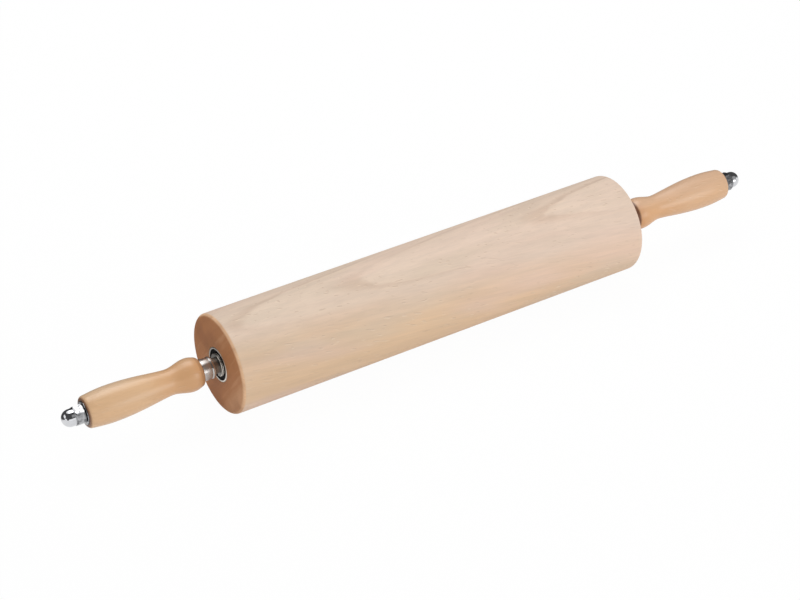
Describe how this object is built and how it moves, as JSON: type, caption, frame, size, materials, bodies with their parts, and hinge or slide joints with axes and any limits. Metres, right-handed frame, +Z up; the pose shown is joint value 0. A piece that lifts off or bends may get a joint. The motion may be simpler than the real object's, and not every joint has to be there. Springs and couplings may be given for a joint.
{
  "type": "rolling pin",
  "caption": "Rolling pin: a long hardwood roller on end ball bearings, turned by wooden handles held on a steel rod with bright ferrules, washers and acorn nuts.",
  "frame": {"origin": "under the middle of the roller, on the surface that it rests on", "axes": "+X along the pin's axis towards the right handle, +Z up, +Y towards the side that the picture doesn't show"},
  "size_m": [0.6466, 0.0826, 0.0825],
  "materials": {
    "roller_wood": "fine-sanded bare hardwood",
    "handle_wood": "lacquered hardwood",
    "rod_steel": "ground steel",
    "bearing_steel": "ground steel",
    "ferrule_nickel": "bright nickel plate",
    "nut_chrome": "polished chrome plate",
    "seal_rubber": "black nitrile rubber"
  },
  "bodies": {
    "roller": {"roller": "roller_wood", "left_bearing_outer_race": "bearing_steel", "left_bearing_front_seal": "seal_rubber", "left_bearing_back_seal": "seal_rubber", "right_bearing_outer_race": "bearing_steel", "right_bearing_front_seal": "seal_rubber", "right_bearing_back_seal": "seal_rubber"},
    "axle": {"axle_rod": "rod_steel", "left_bearing_inner_race": "bearing_steel", "left_retaining_ring": "bearing_steel", "left_ferrule": "ferrule_nickel", "left_handle": "handle_wood", "left_end_washer": "nut_chrome", "left_acorn_nut": "nut_chrome", "right_bearing_inner_race": "bearing_steel", "right_retaining_ring": "bearing_steel", "right_ferrule": "ferrule_nickel", "right_handle": "handle_wood", "right_end_washer": "nut_chrome", "right_acorn_nut": "nut_chrome"},
    "left_ball_set": {"left_bearing_cage": "bearing_steel", "left_bearing_ball_1": "bearing_steel", "left_bearing_ball_2": "bearing_steel", "left_bearing_ball_3": "bearing_steel", "left_bearing_ball_4": "bearing_steel", "left_bearing_ball_5": "bearing_steel", "left_bearing_ball_6": "bearing_steel", "left_bearing_ball_7": "bearing_steel", "left_bearing_ball_8": "bearing_steel"},
    "right_ball_set": {"right_bearing_cage": "bearing_steel", "right_bearing_ball_1": "bearing_steel", "right_bearing_ball_2": "bearing_steel", "right_bearing_ball_3": "bearing_steel", "right_bearing_ball_4": "bearing_steel", "right_bearing_ball_5": "bearing_steel", "right_bearing_ball_6": "bearing_steel", "right_bearing_ball_7": "bearing_steel", "right_bearing_ball_8": "bearing_steel"}
  },
  "joints": [
    {"name": "axle_spin", "type": "hinge", "parent": "roller", "child": "axle", "pos_m": [0, 0, 0.04127], "axis": [1, 0, 0], "continuous": true},
    {"name": "left_cage_spin", "type": "hinge", "parent": "roller", "child": "left_ball_set", "pos_m": [-0.18651, 0, 0.04127], "axis": [1, 0, 0], "continuous": true},
    {"name": "right_cage_spin", "type": "hinge", "parent": "roller", "child": "right_ball_set", "pos_m": [0.18651, 0, 0.04127], "axis": [1, 0, 0], "continuous": true}
  ],
  "couplings": [
    {"joint": "left_cage_spin", "follows": "axle_spin", "ratio": 0.4084},
    {"joint": "right_cage_spin", "follows": "axle_spin", "ratio": 0.4084}
  ]
}
